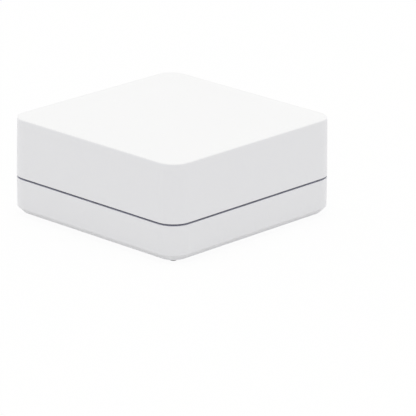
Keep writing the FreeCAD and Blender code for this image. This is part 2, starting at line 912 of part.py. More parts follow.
def power_inductor():
    """Square shielded inductor with a round crown."""
    width, depth, height = inductor_size
    x, y = inductor_place
    shoulder = board_top_z + height - inductor_crown_height
    base = on_board((width, depth, height - inductor_crown_height), inductor_place, inductor_corner)
    crown = rod_z(width - inductor_corner, x, y, shoulder - inductor_crown_height, board_top_z + height)
    return joined([base, crown])


def surface_parts(size, rows, row_counts):
    """Rows of small block-shaped parts on the board."""
    parts = []
    for (x, y, step_x, step_y), count in zip(rows, row_counts):
        for i in range(count):
            parts.append(on_board(size, (x + i * step_x, y + i * step_y), surface_part_corner))
    return Part.makeCompound(parts)


def radio_shield_frame():
    """Open frame soldered round the radio parts, with a lip that the lid rests on."""
    t = shield_sheet
    half_x = shield_length / 2
    half_y = shield_width / 2
    low = board_top_z
    high = low + shield_frame_height
    shape = plate(half_x, half_y, shield_corner, low, high, radio_x, radio_y)
    room = plate(half_x - t, half_y - t, shield_corner - t, low, high - t, radio_x, radio_y)
    window_x = half_x - t - shield_lip
    window_y = half_y - t - shield_lip
    window = plate(window_x, window_y, shield_corner - t, low, high, radio_x, radio_y)
    return shape.cut(room).cut(window)


def radio_shield_lid():
    """Pressed lid over the frame, with a grid of small holes."""
    t = shield_sheet
    half_x = shield_length / 2 + shield_lid_gap
    half_y = shield_width / 2 + shield_lid_gap
    corner = shield_corner + shield_lid_gap
    high = board_top_z + shield_frame_height
    low = high - shield_lid_skirt
    shape = plate(half_x + t, half_y + t, corner + t, low, high + t, radio_x, radio_y)
    shape = shape.cut(plate(half_x, half_y, corner, low, high, radio_x, radio_y))
    for i in range(shield_hole_count_x):
        for j in range(shield_hole_count_y):
            x = radio_x + (i - (shield_hole_count_x - 1) / 2) * shield_hole_pitch
            y = radio_y + (j - (shield_hole_count_y - 1) / 2) * shield_hole_pitch
            shape = shape.cut(rod_z(shield_hole_diameter, x, y, low, high + 2 * t))
    return shape


def radio_chips():
    """Radio chip and its clock crystal, side by side under the shield."""
    radio = on_board(radio_chip_size, (radio_x + radio_chip_offset, radio_y))
    clock = on_board(radio_clock_size, (radio_x + radio_clock_offset, radio_y))
    return Part.makeCompound([radio, clock])


# Antenna: one unbroken wire, made of arcs, from a leg in the board up through its turns

def antenna_point(turn):
    """Point and direction of the coil after a number of turns."""
    angle = 2 * math.pi * turn
    rise = board_top_z + antenna_lift + antenna_pitch * turn
    across = V(math.cos(angle), math.sin(angle), 0)
    point = V(antenna_x, antenna_y, rise) + across * antenna_radius
    run = 2 * math.pi * antenna_radius
    way = V(-run * across.y, run * across.x, antenna_pitch)
    return point, way.normalize()


def antenna_leg():
    """Where the antenna's leg goes through the board: below the start of the coil, less the bend."""
    first, way = antenna_point(0)
    return first.x, first.y - antenna_bend * (1 - way.z)


def arc_between(start, corner, end):
    """Arc that leaves start towards the corner and arrives at end from it."""
    middle = (start + end) * 0.5
    rise = corner - middle
    reach = (end - start).Length / 2
    turn = math.atan2(rise.Length, reach)
    top = middle + rise.normalize() * (reach * math.tan(turn / 2))
    return Part.Arc(start, top, end).toShape()


def biarc(start, way_out, end, way_in):
    """Two arcs that join two points smoothly."""
    span = end - start
    a = 2 * (way_out.dot(way_in) - 1)
    b = -2 * span.dot(way_out + way_in)
    c = span.dot(span)
    reach = (-b - math.sqrt(b * b - 4 * a * c)) / (2 * a)
    corner_out = start + way_out * reach
    corner_in = end - way_in * reach
    meet = (corner_out + corner_in) * 0.5
    return [arc_between(start, corner_out, meet), arc_between(meet, corner_in, end)]


def antenna_coil():
    """Copper wire antenna: leg, bend and turns."""
    leg_x, leg_y = antenna_leg()
    first, way = antenna_point(0)
    turned = math.acos(way.z)
    leg_foot = V(leg_x, leg_y, board_top_z - antenna_through)
    leg_top = V(leg_x, leg_y, first.z - antenna_bend * math.sin(turned))
    corner = leg_top + V(0, 0, antenna_bend * math.tan(turned / 2))
    edges = [Part.LineSegment(leg_foot, leg_top).toShape(), arc_between(leg_top, corner, first)]
    for quarter in range(4 * antenna_turn_count):
        start, way_out = antenna_point(quarter / 4)
        end, way_in = antenna_point((quarter + 1) / 4)
        edges.extend(biarc(start, way_out, end, way_in))
    path = Part.Wire(edges)
    section = Part.Wire(Part.makeCircle(antenna_wire / 2, leg_foot, V(0, 0, 1)))
    coil = path.makePipeShell([section], True)
    steps = 24
    points = [antenna_point(i / steps)[0] for i in range(antenna_turn_count * steps + 1)]
    nearest = min((points[i + steps] - points[i]).Length for i in range(len(points) - steps))
    print("antenna coil: least gap between turns %.2f mm" % (nearest - antenna_wire))
    expected = math.pi * antenna_wire ** 2 / 4 * path.Length
    print("antenna coil: volume %.2f mm3, section times length %.2f mm3" % (coil.Volume, expected))
    return coil


def make_nodes():
    """Every node of the hub by name."""
    nodes = {
        "top_cover": top_cover(),
        "base_shell": base_shell(),
        "blank_label": blank_label(),
        "case_screws": case_screws(),
        "main_board": main_board(),
        "ethernet_jack_shield": jack_shield(),
        "ethernet_jack_body": jack_body(),
        "ethernet_jack_contacts": jack_contacts(),
        "ethernet_jack_lamps": Part.makeCompound(lamp_windows()),
        "usb_socket_shell": usb_shell(),
        "usb_socket_tongue": usb_tongue(),
        "usb_socket_contacts": usb_contacts(),
        "pairing_button": pairing_button(),
        "switch_plunger": switch_plunger(),
        "switch_dome": switch_dome(),
        "switch_body": switch_body(),
        "switch_cover_plate": switch_cover_plate(),
        "status_light_pipe": status_light_pipe(),
        "status_led": status_led(),
        "processor_chip": on_board(processor_size, processor_place),
        "memory_chip": on_board(memory_size, memory_place),
        "flash_chip": on_board(flash_size, flash_place),
        "network_chip": on_board(network_chip_size, network_chip_place),
        "power_regulator_chip": on_board(regulator_size, regulator_place),
        "clock_crystal": on_board(clock_size, clock_place),
        "power_inductor": power_inductor(),
        "bulk_capacitors": bulk_capacitors(),
        "ceramic_capacitors": surface_parts(capacitor_size, capacitor_rows, capacitor_row_counts),
        "chip_resistors": surface_parts(resistor_size, resistor_rows, resistor_row_counts),
        "radio_chips": radio_chips(),
        "radio_shield_frame": radio_shield_frame(),
        "radio_shield_lid": radio_shield_lid(),
        "antenna_coil": antenna_coil(),
    }
    foot_names = ("foot_front_left", "foot_rear_left", "foot_front_right", "foot_rear_right")
    for name, (x, y) in zip(foot_names, column_places):
        nodes[name] = rubber_foot(x, y)
    return nodes


os.makedirs("parts", exist_ok=True)
for node_name, node_shape in make_nodes().items():
    if not node_shape.isValid() or node_shape.Volume <= 0:
        print("check", node_name, "valid", node_shape.isValid(), "volume", round(node_shape.Volume, 3))
    node_shape.exportStep(os.path.join("parts", node_name + ".step"))
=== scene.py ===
import math

import bmesh
import bpy
from mathutils import Matrix, Vector


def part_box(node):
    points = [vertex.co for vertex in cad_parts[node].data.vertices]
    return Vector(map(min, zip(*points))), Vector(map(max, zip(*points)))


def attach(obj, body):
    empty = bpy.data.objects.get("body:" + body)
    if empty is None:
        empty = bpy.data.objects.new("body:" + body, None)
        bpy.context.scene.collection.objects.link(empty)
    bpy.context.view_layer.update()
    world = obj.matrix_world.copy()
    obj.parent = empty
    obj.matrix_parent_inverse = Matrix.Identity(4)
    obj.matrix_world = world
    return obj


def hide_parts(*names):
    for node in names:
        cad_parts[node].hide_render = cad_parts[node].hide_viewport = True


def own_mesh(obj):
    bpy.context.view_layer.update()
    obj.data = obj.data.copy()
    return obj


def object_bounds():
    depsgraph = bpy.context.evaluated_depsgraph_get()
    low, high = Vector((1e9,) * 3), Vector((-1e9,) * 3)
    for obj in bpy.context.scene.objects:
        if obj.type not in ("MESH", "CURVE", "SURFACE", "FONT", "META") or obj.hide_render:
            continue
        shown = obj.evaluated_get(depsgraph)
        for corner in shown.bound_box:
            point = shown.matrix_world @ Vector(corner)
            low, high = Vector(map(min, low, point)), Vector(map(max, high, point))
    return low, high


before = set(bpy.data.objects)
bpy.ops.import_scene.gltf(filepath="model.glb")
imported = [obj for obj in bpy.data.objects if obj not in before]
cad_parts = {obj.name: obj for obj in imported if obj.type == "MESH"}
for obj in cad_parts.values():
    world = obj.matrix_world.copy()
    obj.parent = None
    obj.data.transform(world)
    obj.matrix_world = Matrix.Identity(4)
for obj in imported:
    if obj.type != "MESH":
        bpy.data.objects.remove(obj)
cad_low, cad_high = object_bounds()


# Circuit board
# Everything inside the case is built on this board. It is glass-fibre laminate with copper on both
# faces under a glossy green mask, routed to shape and drilled for the screws and the soldered legs.

mm = 0.001


class Field:
    """A value that varies over a surface. Arithmetic on it adds the shader's own maths nodes."""

    def __init__(self, tree, socket=None):
        self.tree = tree
        self.socket = socket

    def node(self, kind, settings, values, out=0):
        """Adds a node: its settings first, then the values or links of its sockets."""
        made = self.tree.nodes.new(kind)
        for name, value in settings.items():
            setattr(made, name, value)
        for name, value in values.items():
            if isinstance(value, Field):
                self.tree.links.new(value.socket, made.inputs[name])
            else:
                made.inputs[name].default_value = value
        return Field(self.tree, made.outputs[out])

    def maths(self, operation, first, second=0.0):
        return self.node("ShaderNodeMath", {"operation": operation}, {0: first, 1: second})

    def __add__(self, other):
        return self.maths("ADD", self, other)

    def __radd__(self, other):
        return self.maths("ADD", other, self)

    def __sub__(self, other):
        return self.maths("SUBTRACT", self, other)

    def __rsub__(self, other):
        return self.maths("SUBTRACT", other, self)

    def __mul__(self, other):
        return self.maths("MULTIPLY", self, other)

    def __rmul__(self, other):
        return self.maths("MULTIPLY", other, self)

    def __gt__(self, other):
        return self.maths("GREATER_THAN", self, other)

    def __lt__(self, other):
        return self.maths("LESS_THAN", self, other)

    def __abs__(self):
        return self.maths("ABSOLUTE", self)

    def fold(self, size):
        """Runs up and down between 0 and size."""
        return self.maths("PINGPONG", self, size)

    def most(self, other):
        return self.maths("MAXIMUM", self, other)

    def least(self, other):
        return self.maths("MINIMUM", self, other)

    def rise(self, low, high):
        """Goes smoothly from 0 at low to 1 at high."""
        settings = {"interpolation_type": "SMOOTHSTEP"}
        values = {"Value": self, "From Min": low, "From Max": high}
        return self.node("ShaderNodeMapRange", settings, values)


def length(across, along):
    """Distance that two fields at right angles make together."""
    return across.maths("SQRT", across * across + along * along)


class Finish:
    """A material with one Principled shader. Its constants are set on the shader's own sockets."""

    def __init__(self, name, colour, roughness, **constants):
        self.material = bpy.data.materials.new(name)
        self.material.use_nodes = True
        self.material.diffuse_color = (*colour, 1.0)
        self.tree = self.material.node_tree
        self.shader = self.tree.nodes["Principled BSDF"]
        self.shader.inputs["Base Color"].default_value = (*colour, 1.0)
        self.shader.inputs["Roughness"].default_value = roughness
        for socket, value in constants.items():
            self.shader.inputs[socket.replace("_", " ")].default_value = value
        self.place = Field(self.tree).node("ShaderNodeTexCoord", {}, {}, out="Object")

    def axis(self, name):
        return self.place.node("ShaderNodeSeparateXYZ", {}, {"Vector": self.place}, out=name)

    def scaled(self, size, stretch):
        """Object coordinates in steps of size, drawn out along each axis by stretch."""
        scale = tuple(1 / (size * longer) for longer in stretch)
        return self.place.node("ShaderNodeMapping", {}, {"Vector": self.place, "Scale": scale})

    def noise(self, size, detail=2.0, stretch=(1, 1, 1)):
        values = {"Vector": self.scaled(size, stretch), "Scale": 1.0, "Detail": detail}
        return self.place.node("ShaderNodeTexNoise", {}, values)

    def dots(self, size):
        """Distance in metres, on the flat, from the nearest of many scattered points."""
        values = {"Vector": self.scaled(size, (1, 1, 1)), "Scale": 1.0}
        return size * self.place.node("ShaderNodeTexVoronoi", {"voronoi_dimensions": "2D"}, values)

    def distance(self, point):
        settings = {"operation": "DISTANCE"}
        values = {0: self.place, 1: point}
        return self.place.node("ShaderNodeVectorMath", settings, values, out="Value")

    def colours(self, share, first, second):
        """Blends two colours, each written as numbers or made by an earlier blend."""
        first = first if isinstance(first, Field) else (*first, 1.0)
        second = second if isinstance(second, Field) else (*second, 1.0)
        values = {0: share, 6: first, 7: second}
        return self.place.node("ShaderNodeMix", {"data_type": "RGBA"}, values, out=2)

    def feed(self, socket, value):
        self.tree.links.new(value.socket, self.shader.inputs[socket])

    def relief(self, height):
        """Raises the surface by a height in metres, in shading only."""
        values = {"Height": height, "Distance": 1.0, "Strength": 1.0}
        self.feed("Normal", self.place.node("ShaderNodeBump", {}, values))


def dress(node, finish):
    """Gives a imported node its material."""
    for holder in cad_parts[node].material_slots:
        holder.material = finish.material


board_low, board_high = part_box("main_board")
foot_low, foot_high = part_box("foot_rear_right")
screw_place = (foot_low + foot_high) / 2

laminate_green = (0.006, 0.070, 0.030)
copper_green = (0.014, 0.130, 0.058)
glass_fibre_tan = (0.42, 0.36, 0.20)
resin_brown = (0.30, 0.24, 0.12)
pad_gilt = (0.80, 0.62, 0.30)
mask_roughness = 0.24
streak_roughness = 0.08
cut_roughness = 0.35

track_pitch = 0.55 * mm
track_half_width = 0.09 * mm
track_patch = 7 * mm
track_above = 0.52
track_below = 0.46
slant_pitch = 1.4 * track_pitch
slant_patch = 5 * mm
slant_above = 0.55
ground_patch = 9 * mm
ground_border = (0.55, 0.56)
via_spacing = 2.7 * mm
via_hole = 0.12 * mm
via_ring = 0.26 * mm
screw_ring = 3.6 * mm
edge_depth = 0.06 * mm
fibre_width = 0.12 * mm
streak_size = 0.5 * mm
copper_relief = 0.02 * mm
fibre_relief = 0.01 * mm

mask_green = Finish("board_mask_green", laminate_green, mask_roughness, IOR=1.5)
x, y, z = mask_green.axis("X"), mask_green.axis("Y"), mask_green.axis("Z")
patch = mask_green.noise(track_patch, detail=0.0)
tracks_x = (y.fold(track_pitch) < track_half_width) * (patch > track_above)
tracks_y = (x.fold(track_pitch) < track_half_width) * (patch < track_below)
slanted = mask_green.noise(slant_patch, detail=0.0) > slant_above
tracks_slant = ((x + y).fold(slant_pitch) < track_half_width) * slanted
ground = mask_green.noise(ground_patch, detail=1.0).rise(*ground_border)
copper = tracks_x.most(tracks_y).most(tracks_slant).most(ground)
from_via = mask_green.dots(via_spacing)
via = (from_via < via_ring) * (from_via > via_hole)
from_screw = length(abs(x) - screw_place.x, abs(y) - screw_place.y)
bare = via.most(from_screw < screw_ring)
cut = (z > board_low.z + edge_depth) * (z < board_high.z - edge_depth)
fibres = mask_green.noise(fibre_width, stretch=(6, 6, 1))
streaks = mask_green.noise(streak_size)
masked = mask_green.colours(copper, laminate_green, copper_green)
plated = mask_green.colours(bare, masked, pad_gilt)
tan = mask_green.colours(fibres, glass_fibre_tan, resin_brown)
mask_green.feed("Base Color", mask_green.colours(cut, plated, tan))
mask_green.feed("Metallic", bare * (1 - cut))
mask_green.feed("Roughness", mask_roughness + streak_roughness * streaks + cut_roughness * cut)
mask_green.relief(copper_relief * copper + fibre_relief * fibres * cut)
dress("main_board", mask_green)


# Packaged chips
# Black epoxy is moulded round each chip, with a small round dimple at the corner of its first
# terminal. Two of them have tinned terminals round their edges, soldered to the board.

epoxy_black = (0.020, 0.020, 0.022)
epoxy_worn = (0.032, 0.032, 0.034)
epoxy_roughness = 0.46
epoxy_uneven = 0.14
epoxy_relief = 0.006 * mm
epoxy_grain = 0.05 * mm
epoxy_swirl = 2.5 * mm
dimple_radius = 0.4 * mm
dimple_floor = 0.9 * dimple_radius
dimple_inset = 1.0 * mm
dimple_depth = 0.05 * mm
dimple_polish = 0.2
terminal_reach = 0.45 * mm
terminal_rise = 0.22 * mm
terminal_bite = 0.05 * mm
terminal_rounding = 0.02 * mm
toe_drop = 0.8 * terminal_rise
facing_limit = 0.9


def moulded_epoxy(node):
    """Black epoxy, with a dimple at one corner of the chip's top."""
    low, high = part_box(node)
    finish = Finish(node + "_epoxy", epoxy_black, epoxy_roughness, IOR=1.55)
    grain = finish.noise(epoxy_grain, detail=3.0)
    swirl = finish.noise(epoxy_swirl, detail=3.0)
    from_dimple = finish.distance((low.x + dimple_inset, high.y - dimple_inset, high.z))
    dimple = 1 - from_dimple.rise(dimple_floor, dimple_radius)
    finish.feed("Base Color", finish.colours(swirl, epoxy_black, epoxy_worn))
    roughness = epoxy_roughness + epoxy_uneven * grain - dimple_polish * dimple
    finish.feed("Roughness", roughness)
    finish.relief(epoxy_relief * grain - dimple_depth * dimple)
    dress(node, finish)


def grained(name, tones, size, roughness, relief, detail=3.0, stretch=(1, 1, 1), fleck=None,
            **constants):
    """A finish in which one grain blends two tones, roughens the surface and raises it.

    Roughness is its lowest value and what the grain adds. With fleck, the second tone shows
    only where the grain rises between those two values.
    """
    finish = Finish(name, tones[0], roughness[0], **constants)
    grain = finish.noise(size, detail, stretch)
    share = grain.rise(*fleck) if fleck else grain
    finish.feed("Base Color", finish.colours(share, *tones))
    finish.feed("Roughness", roughness[0] + roughness[1] * grain)
    finish.relief(relief * grain)
    return finish


def block(name, low, high):
    """Starts a piece as a block between two corners and opens it for shaping."""
    low, high = Vector(low), Vector(high)
    bpy.ops.object.select_all(action="DESELECT")
    bpy.ops.mesh.primitive_cube_add(size=1.0, location=(low + high) / 2, scale=high - low)
    return opened(name)


def opened(name):
    """Names the new primitive, fixes its place in its mesh and opens it for shaping."""
    piece = bpy.context.object
    piece.name = name
    bpy.ops.object.transform_apply(location=True, rotation=True, scale=True)
    bpy.ops.object.mode_set(mode="EDIT")
    return piece


def leave_edit_mode(piece):
    """Closes a piece that is still open for shaping."""
    if piece.mode == "EDIT":
        bpy.ops.object.mode_set(mode="OBJECT")


def pick(piece, kind, rule):
    """Selects the faces or edges that fit a rule, and nothing else."""
    bpy.ops.mesh.select_mode(type=kind)
    bpy.ops.mesh.select_all(action="DESELECT")
    mesh = bmesh.from_edit_mesh(piece.data)
    for part in {"FACE": mesh.faces, "EDGE": mesh.edges}[kind]:
        if rule(part):
            part.select_set(True)
    mesh.select_flush_mode()
    bmesh.update_edit_mesh(piece.data)


def facing(way, where=lambda centre: True):
    """A rule for faces that look along a direction and whose centre fits where."""
    way = Vector(way)
    return lambda face: face.normal.dot(way) > facing_limit and where(face.calc_center_median())


def ends(where):
    """A rule for edges of which both ends fit where."""
    return lambda edge: all(where(corner.co) for corner in edge.verts)


def push(move):
    """Extrudes the selected faces by a move."""
    bpy.ops.mesh.extrude_region_move(TRANSFORM_OT_translate={"value": tuple(move)})


def soften(piece, size, segments=2, angle=30):
    """Rounds every edge of a piece that turns by more than an angle in degrees."""
    leave_edit_mode(piece)
    rounding = piece.modifiers.new("rounding", "BEVEL")
    rounding.width = size
    rounding.segments = segments
    rounding.limit_method = "ANGLE"
    rounding.angle_limit = math.radians(angle)
    bpy.ops.object.modifier_apply(modifier=rounding.name)


def turned(centre, quarters):
    """A move that turns a piece by quarter turns about the upright line through a point."""
    there = Matrix.Translation((centre.x, centre.y, 0))
    return there @ Matrix.Rotation(quarters * math.pi / 2, 4, "Z") @ there.inverted()


def repeated(piece, moves):
    """Copies a modelled piece to each place, each copy with its own mesh, as one joined piece."""
    leave_edit_mode(piece)
    name = piece.name
    bpy.ops.object.select_all(action="DESELECT")
    for move in moves:
        copy = piece.copy()
        copy.data = piece.data.copy()
        copy.data.transform(move)
        bpy.context.scene.collection.objects.link(copy)
        copy.select_set(True)
    bpy.data.objects.remove(piece)
    bpy.context.view_layer.objects.active = bpy.context.selected_objects[0]
    bpy.ops.object.join()
    joined = bpy.context.object
    joined.name = name
    return joined


def fit(piece, finish, angle=35):
    """Smooths a finished piece, gives it its material and fixes it to the hub."""
    leave_edit_mode(piece)
    bpy.ops.object.select_all(action="DESELECT")
    piece.select_set(True)
    bpy.context.view_layer.objects.active = piece
    bpy.ops.object.shade_smooth_by_angle(angle=math.radians(angle))
    piece.data.materials.clear()
    piece.data.materials.append(finish.material)
    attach(piece, "hub")


for chip in ("processor_chip", "memory_chip", "flash_chip", "network_chip", "power_regulator_chip"):
    moulded_epoxy(chip)

solder_dull = (0.45, 0.45, 0.45)
solder_bright = (0.62, 0.62, 0.61)
solder = grained(
    "tinned_solder", (solder_dull, solder_bright), size=0.3 * mm, roughness=(0.22, 0.22),
    relief=0.008 * mm, Metallic=1.0)


def edge_terminals(node, per_side, width, pitch):
    """Soldered terminals along each side of a square chip, each a flat end and a sloped toe."""
    low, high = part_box(node)
    centre = (low + high) / 2
    start = (centre.x - width / 2, low.y - terminal_bite, low.z)
    end = (centre.x + width / 2, low.y + terminal_bite, low.z + terminal_rise)
    piece = block(node + "_terminals", start, end)
    pick(piece, "FACE", facing((0, -1, 0)))
    push((0, -terminal_reach, 0))
    pick(piece, "EDGE", ends(
        lambda place: place.y < low.y - terminal_reach and place.z > low.z + terminal_rise / 2))
    bpy.ops.transform.translate(value=(0, 0, -toe_drop))
    soften(piece, terminal_rounding, segments=1)
    moves = []
    for side in range(4):
        for count in range(per_side):
            along = (count - (per_side - 1) / 2) * pitch
            moves.append(turned(centre, side) @ Matrix.Translation((along, 0, 0)))
    fit(repeated(piece, moves), solder)


edge_terminals("network_chip", per_side=8, width=0.24 * mm, pitch=0.5 * mm)
edge_terminals("power_regulator_chip", per_side=4, width=0.35 * mm, pitch=0.8 * mm)


# Clock crystal
# A plated lid is seam-welded on a brown ceramic tray that holds the quartz plate. The tray's
# pads are reflow-soldered to the board near the network chip.

crystal_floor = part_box("clock_crystal")[0].z
tray_height = 0.35 * mm
tray_brown = (0.085, 0.045, 0.030)
tray_roughness = 0.55
lid_silver = (0.66, 0.65, 0.62)
lid_worn = (0.56, 0.55, 0.52)
lid_shine = 0.3
lid_lines = 0.06 * mm
lid_uneven = 0.08
lid_relief = 0.003 * mm

crystal_can = Finish("crystal_lid", lid_silver, tray_roughness)
lid = crystal_can.axis("Z") > crystal_floor + tray_height
polish = crystal_can.noise(lid_lines, stretch=(8, 1, 1))
lid_tone = crystal_can.colours(polish, lid_silver, lid_worn)
crystal_can.feed("Base Color", crystal_can.colours(lid, tray_brown, lid_tone))
crystal_can.feed("Metallic", lid)
crystal_can.feed("Roughness", tray_roughness - lid_shine * lid + lid_uneven * polish)
crystal_can.relief(lid_relief * polish)
dress("clock_crystal", crystal_can)


# Power inductor
# Pressed ferrite powder round a copper winding makes a dark block. Two bent tin strips hug its
# sides and are soldered to the board.

inductor_low, inductor_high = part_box("power_inductor")
inductor_middle = (inductor_low + inductor_high) / 2
ferrite_grey = (0.055, 0.055, 0.058)
ferrite_fleck = (0.10, 0.10, 0.105)
strip_width = 2.2 * mm
strip_thickness = 0.12 * mm
strip_rise = 1.3 * mm
strip_toe = 0.5 * mm
strip_rounding = 0.05 * mm

dress("power_inductor", grained(
    "pressed_ferrite", (ferrite_grey, ferrite_fleck), size=0.12 * mm, detail=4.0,
    fleck=(0.45, 0.65), roughness=(0.6, 0.2), relief=0.02 * mm))

strip_floor = inductor_low.z + strip_thickness
strip = block(
    "power_inductor_strips",
    (inductor_low.x - strip_thickness, inductor_middle.y - strip_width / 2, inductor_low.z),
    (inductor_low.x, inductor_middle.y + strip_width / 2, strip_floor))
pick(strip, "FACE", facing((0, 0, 1)))
push((0, 0, strip_rise))
pick(strip, "FACE", facing((-1, 0, 0), lambda centre: centre.z < strip_floor))
push((-strip_toe, 0, 0))
soften(strip, strip_rounding)
both_sides = [turned(inductor_middle, quarters) for quarters in (0, 2)]
fit(repeated(strip, both_sides), solder)


# Bulk capacitors
# Each can is drawn from aluminium, rolled in round its lower end over a rubber plug, and crimped
# on a black plastic foot. A black half-moon on the crown marks the negative side.

can_low, can_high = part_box("bulk_capacitors")
can_foot_height = 1.0 * mm
can_aluminium = (0.68, 0.68, 0.69)
can_shade = (0.56, 0.56, 0.58)
can_lines = 0.08 * mm
can_shine = 0.2
can_uneven = 0.12
can_relief = 0.004 * mm
foot_black = (0.018, 0.018, 0.018)
foot_roughness = 0.5
sign_black = (0.025, 0.025, 0.028)
sign_width = 1.6 * mm
sign_depth = 0.3 * mm

can_skin = Finish("drawn_aluminium", can_aluminium, foot_roughness)
x, z = can_skin.axis("X"), can_skin.axis("Z")
above_foot = z > can_low.z + can_foot_height
sign = (z > can_high.z - sign_depth) * (x < can_low.x + sign_width)
drawn = can_skin.noise(can_lines, stretch=(1, 1, 12))
shell_tone = can_skin.colours(drawn, can_aluminium, can_shade)
signed = can_skin.colours(sign, shell_tone, sign_black)
can_skin.feed("Base Color", can_skin.colours(above_foot, foot_black, signed))
can_skin.feed("Metallic", above_foot * (1 - sign))
can_skin.feed("Roughness", foot_roughness - can_shine * above_foot + can_uneven * drawn)
can_skin.relief(can_relief * drawn)
dress("bulk_capacitors", can_skin)


# Ceramic capacitors and resistors
# Small ceramic chips lie in rows between the larger parts. Each has a tinned cap on both ends,
# and a little solder slopes from the cap to the board.

ceramic_tan = (0.40, 0.27, 0.16)
ceramic_dark = (0.30, 0.20, 0.12)
glaze_black = (0.020, 0.020, 0.022)
glaze_worn = (0.040, 0.040, 0.044)
cap_share = 0.24
cap_proud = 0.02 * mm
cap_rounding = 0.05 * mm
fillet_reach = 0.3 * mm
fillet_share = 0.6
fillet_slope = 0.5
same_place = 0.001 * mm

dress("ceramic_capacitors", grained(
    "fired_ceramic", (ceramic_tan, ceramic_dark), size=0.25 * mm, roughness=(0.42, 0.2),
    relief=0.006 * mm))
dress("chip_resistors", grained(
    "resistor_glaze", (glaze_black, glaze_worn), size=0.2 * mm, detail=2.0,
    roughness=(0.22, 0.2), relief=0.005 * mm))


def separate_solids(node):
    """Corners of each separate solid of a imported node, as one list per solid."""
    mesh = bmesh.new()
    mesh.from_mesh(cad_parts[node].data)
    bmesh.ops.remove_doubles(mesh, verts=mesh.verts, dist=same_place)
    waiting = set(mesh.verts)
    solids = []
    for start in mesh.verts:
        if start not in waiting:
            continue
        waiting.remove(start)
        found = [start]
        for corner in found:
            for edge in corner.link_edges:
                other = edge.other_vert(corner)
                if other in waiting:
                    waiting.remove(other)
                    found.append(other)
        solids.append([corner.co.copy() for corner in found])
    mesh.free()
    return sorted(solids, key=lambda solid: min(tuple(corner) for corner in solid))


def limits(corners):
    """Lowest and highest corner of a box round some corners."""
    low = Vector([min(corner[axis] for corner in corners) for axis in range(3)])
    high = Vector([max(corner[axis] for corner in corners) for axis in range(3)])
    return low, high


def tinned_ends(node):
    """A tinned cap with its slope of solder on both ends of every chip of a node."""
    chips = [limits(solid) for solid in separate_solids(node)]
    low, high = chips[0]
    tall = high.z - low.z
    cap = block(
        node + "_ends",
        (low.x - cap_proud, low.y - cap_proud, low.z),
        (low.x + (high.x - low.x) * cap_share, high.y + cap_proud, high.z + cap_proud))
    pick(cap, "EDGE", lambda edge: True)
    bpy.ops.mesh.bevel(offset=cap_rounding, segments=2, affect="EDGES")
    bpy.ops.object.mode_set(mode="OBJECT")
    fillet = block(
        node + "_fillet",
        (low.x - fillet_reach, low.y, low.z),
        (low.x, high.y, low.z + fillet_share * tall))
    pick(fillet, "EDGE", ends(
        lambda place: place.x < low.x - fillet_reach / 2 and place.z > low.z + same_place))
    bpy.ops.transform.translate(value=(0, 0, -fillet_slope * tall))
    bpy.ops.object.mode_set(mode="OBJECT")
    cap.select_set(True)
    bpy.context.view_layer.objects.active = cap
    bpy.ops.object.join()
    moves = []
    for chip_low, chip_high in chips:
        shift = Matrix.Translation(chip_low - low)
        moves.append(shift)
        moves.append(turned((chip_low + chip_high) / 2, 2) @ shift)
    fit(repeated(cap, moves), solder)


tinned_ends("ceramic_capacitors")
tinned_ends("chip_resistors")


# Radio section
# The radio chip and its crystal stand in a tinplate frame that is soldered round them, and a
# pressed lid with rows of small holes clips over the frame to keep stray signals in.

tinplate = (0.56, 0.56, 0.55)
tinplate_dull = (0.46, 0.46, 0.46)
tin_roughness = 0.2
tin_uneven = 0.12
tin_relief = 0.002 * mm
mill_lines = 0.05 * mm
tin_clouds = 3 * mm


def rolled_tin(name, stretch):
    """Tinned sheet with the fine lines of the rolling mill, drawn out by stretch."""
    finish = Finish(name, tinplate, tin_roughness, Metallic=1.0)
    lines = finish.noise(mill_lines, detail=3.0, stretch=stretch)
    clouds = finish.noise(tin_clouds)
    finish.feed("Base Color", finish.colours(clouds, tinplate_dull, tinplate))
    finish.feed("Roughness", tin_roughness + tin_uneven * lines + tin_uneven * clouds)
    finish.relief(tin_relief * lines)
    return finish


moulded_epoxy("radio_chips")
dress("radio_shield_frame", rolled_tin("shield_frame_tin", (12, 1, 1)))
dress("radio_shield_lid", rolled_tin("shield_lid_tin", (12, 1, 1)))


# Antenna
# One length of enamelled copper wire is wound into an open coil that stands on the board. Its
# straight leg goes through a plated hole and is held by a cone of solder on each side.

coil_copper = (0.66, 0.29, 0.15)
coil_bright = (0.78, 0.40, 0.24)
coil_wire_radius = 0.4 * mm
leg_showing = 0.2 * mm
cone_faces = 12
cone_smoothing = 50
waist_share = 0.35
tip_share = 0.05
tip_rise = 0.35

dress("antenna_coil", grained(
    "enamelled_copper", (coil_copper, coil_bright), size=0.3 * mm, roughness=(0.2, 0.15),
    relief=0.004 * mm, Metallic=1.0, Coat_Weight=0.6, Coat_Roughness=0.08))


def legs_below(node, gap):
    """Places of a node's legs that come out under the board, and the half-width of the first."""
    legs = []
    for solid in separate_solids(node):
        for corner in solid:
            if corner.z > board_low.z - leg_showing:
                continue
            for leg in legs:
                if (leg[0].xy - corner.xy).length < gap:
                    leg.append(corner)
                    break
            else:
                legs.append([corner])
    boxes = [limits(leg) for leg in legs]
    places = [(low + high) / 2 for low, high in boxes]
    first_low, first_high = boxes[0]
    return places, (first_high - first_low).xy.length / 2


